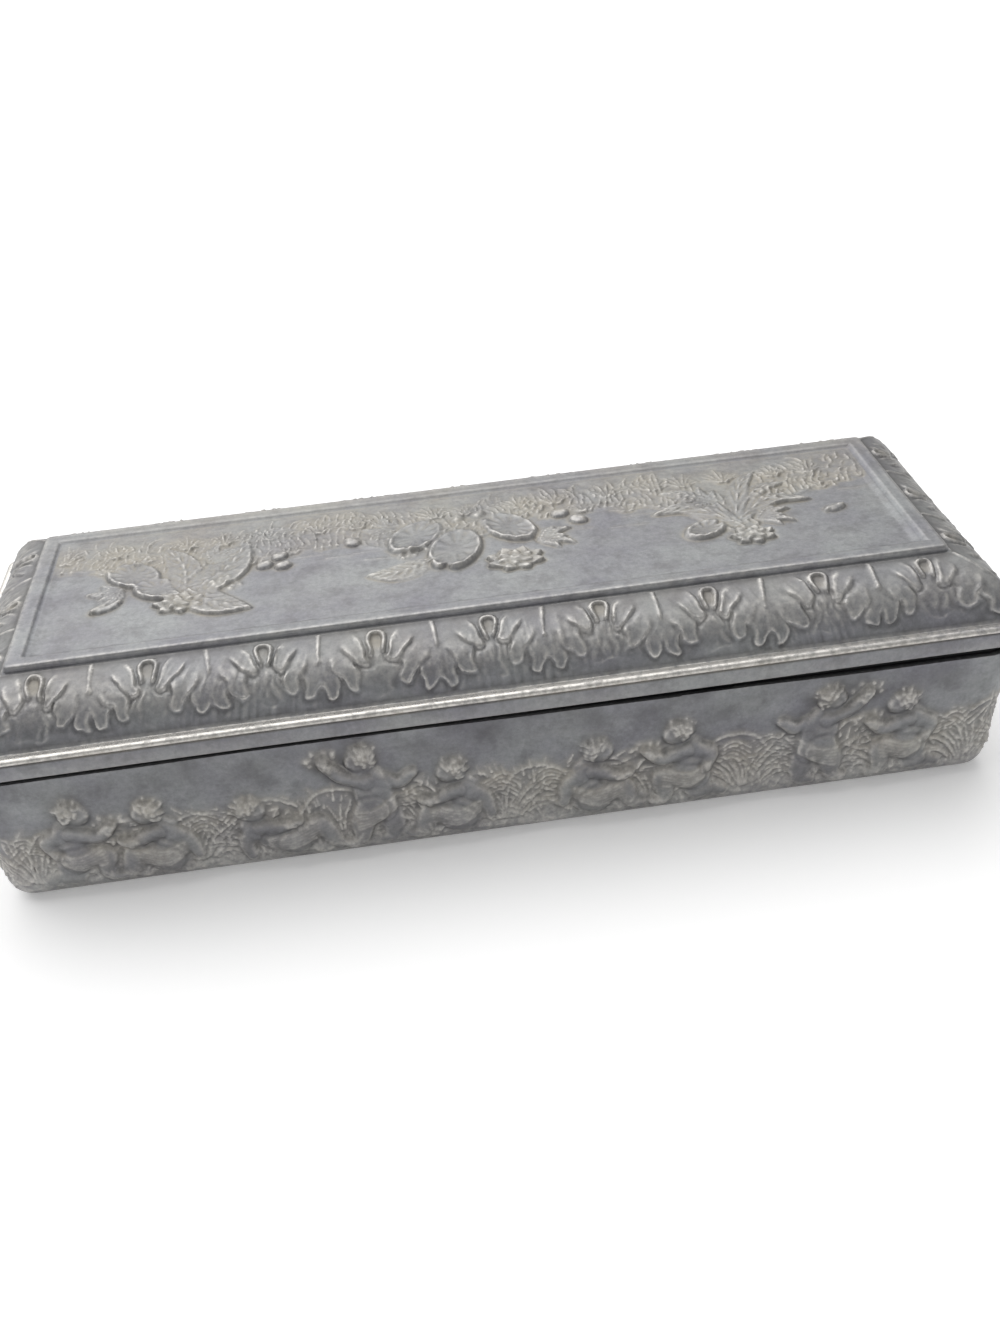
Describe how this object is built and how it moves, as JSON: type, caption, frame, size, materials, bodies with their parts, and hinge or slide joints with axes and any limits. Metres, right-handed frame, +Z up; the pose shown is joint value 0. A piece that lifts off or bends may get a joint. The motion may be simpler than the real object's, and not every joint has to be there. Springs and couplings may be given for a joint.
{
  "type": "trinket box",
  "caption": "Rectangular cast white-metal trinket box: tapered base with a figure frieze, hinged coffered lid with an acanthus border and a relief panel, cloth lining.",
  "frame": {"origin": "middle of the flat underside, on the table", "axes": "+X along the box to the right as seen from the front, +Y towards the hinged back, +Z up"},
  "size_m": [0.204, 0.0768, 0.0483],
  "materials": {
    "white_metal": "cast tin and antimony alloy, tarnished grey with worn bright crests and brown dirt in the hollows",
    "hinge_brass": "dull tarnished brass tube",
    "pin_steel": "plain drawn wire",
    "velvet": "faded short-pile velvet",
    "satin": "aged satin over wadding"
  },
  "bodies": {
    "base": {"base_casting": "white_metal", "wall_lining": "velvet", "floor_lining": "velvet", "hinge_left_base_knuckle_outer": "hinge_brass", "hinge_left_base_knuckle_inner": "hinge_brass", "hinge_left_pin": "pin_steel", "hinge_right_base_knuckle_outer": "hinge_brass", "hinge_right_base_knuckle_inner": "hinge_brass", "hinge_right_pin": "pin_steel"},
    "lid": {"lid_casting": "white_metal", "lid_lining": "satin", "hinge_left_lid_knuckle": "hinge_brass", "hinge_right_lid_knuckle": "hinge_brass"}
  },
  "joints": [
    {"name": "lid_hinge", "type": "hinge", "parent": "base", "child": "lid", "pos_m": [0, 0.03705, 0.0316], "axis": [-1, 0, 0], "range_deg": [0, 100]}
  ]
}
